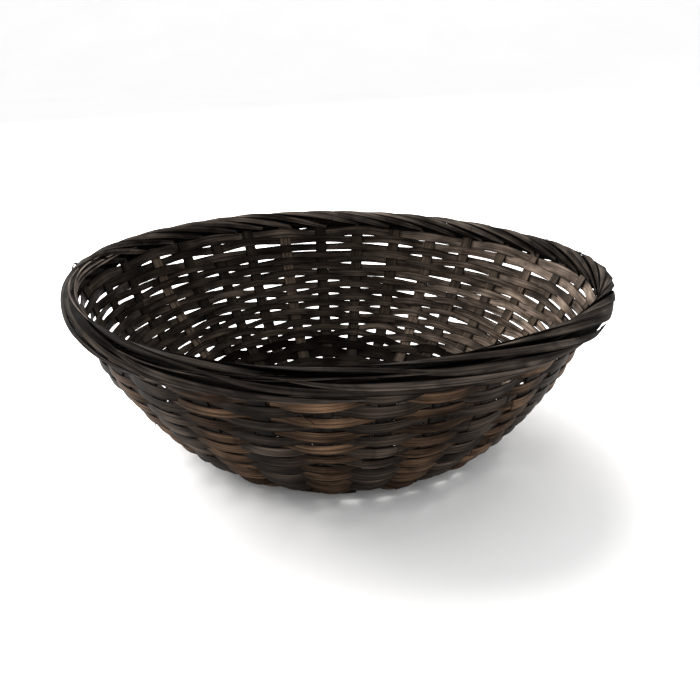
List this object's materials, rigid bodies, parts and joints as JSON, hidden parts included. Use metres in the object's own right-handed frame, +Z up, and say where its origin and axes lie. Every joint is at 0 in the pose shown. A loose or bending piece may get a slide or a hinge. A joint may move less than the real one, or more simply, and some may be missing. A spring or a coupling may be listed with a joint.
{
  "type": "woven fruit basket",
  "caption": "Round open bowl basket of flat dark-stained bamboo splints, woven over and under flat stakes, with a spirally wrapped rim and a flat foot ring.",
  "frame": {"origin": "centre of the foot ring's underside, on the surface that the basket stands on", "axes": "+Z up through the middle of the bowl, towards the open rim; +X and +Y lie in the resting plane, +X along the first splint"},
  "size_m": [0.3048, 0.3048, 0.1016],
  "materials": {
    "splint": "stained bamboo splint, satin, with lengthwise fibre grain",
    "weaver_dark": "dark stained bamboo strip, satin, with lengthwise fibre grain",
    "weaver_warm": "warm brown stained bamboo strip, satin, with dark grain",
    "rim": "dark stained bamboo strip, satin sheen"
  },
  "bodies": {
    "root": {"splint_01": "splint", "splint_02": "splint", "splint_03": "splint", "splint_04": "splint", "splint_05": "splint", "splint_06": "splint", "splint_07": "splint", "splint_08": "splint", "splint_09": "splint", "splint_10": "splint", "splint_11": "splint", "splint_12": "splint", "splint_13": "splint", "splint_14": "splint", "splint_15": "splint", "splint_16": "splint", "base_weaver_a": "weaver_dark", "base_weaver_b": "weaver_dark", "wall_weaver_row_01": "weaver_warm", "wall_weaver_row_02": "weaver_dark", "wall_weaver_row_03": "weaver_warm", "wall_weaver_row_04": "weaver_dark", "wall_weaver_row_05": "weaver_warm", "wall_weaver_row_06": "weaver_dark", "wall_weaver_row_07": "weaver_warm", "wall_weaver_row_08": "weaver_dark", "wall_weaver_row_09": "weaver_warm", "wall_weaver_row_10": "weaver_dark", "wall_weaver_row_11": "weaver_warm", "wall_weaver_row_12": "weaver_dark", "wall_weaver_row_13": "weaver_warm", "wall_weaver_row_14": "weaver_dark", "wall_weaver_row_15": "weaver_warm", "wall_weaver_row_16": "weaver_dark", "wall_weaver_row_17": "weaver_warm", "wall_weaver_row_18": "weaver_dark", "wall_weaver_row_19": "weaver_warm", "wall_weaver_row_20": "weaver_dark", "rim_hoop_outer": "rim", "rim_hoop_inner": "rim", "rim_strip_01": "rim", "rim_strip_02": "rim", "rim_strip_03": "rim", "rim_strip_04": "rim", "rim_strip_05": "rim", "rim_strip_06": "rim", "rim_strip_07": "rim", "rim_strip_08": "rim", "rim_strip_09": "rim", "rim_strip_10": "rim", "rim_strip_11": "rim", "rim_strip_12": "rim", "rim_strip_13": "rim", "rim_strip_14": "rim", "rim_strip_15": "rim", "rim_strip_16": "rim", "foot_hoop": "weaver_warm", "foot_strip_lower": "weaver_warm", "foot_strip_upper": "weaver_warm"}
  },
  "joints": []
}
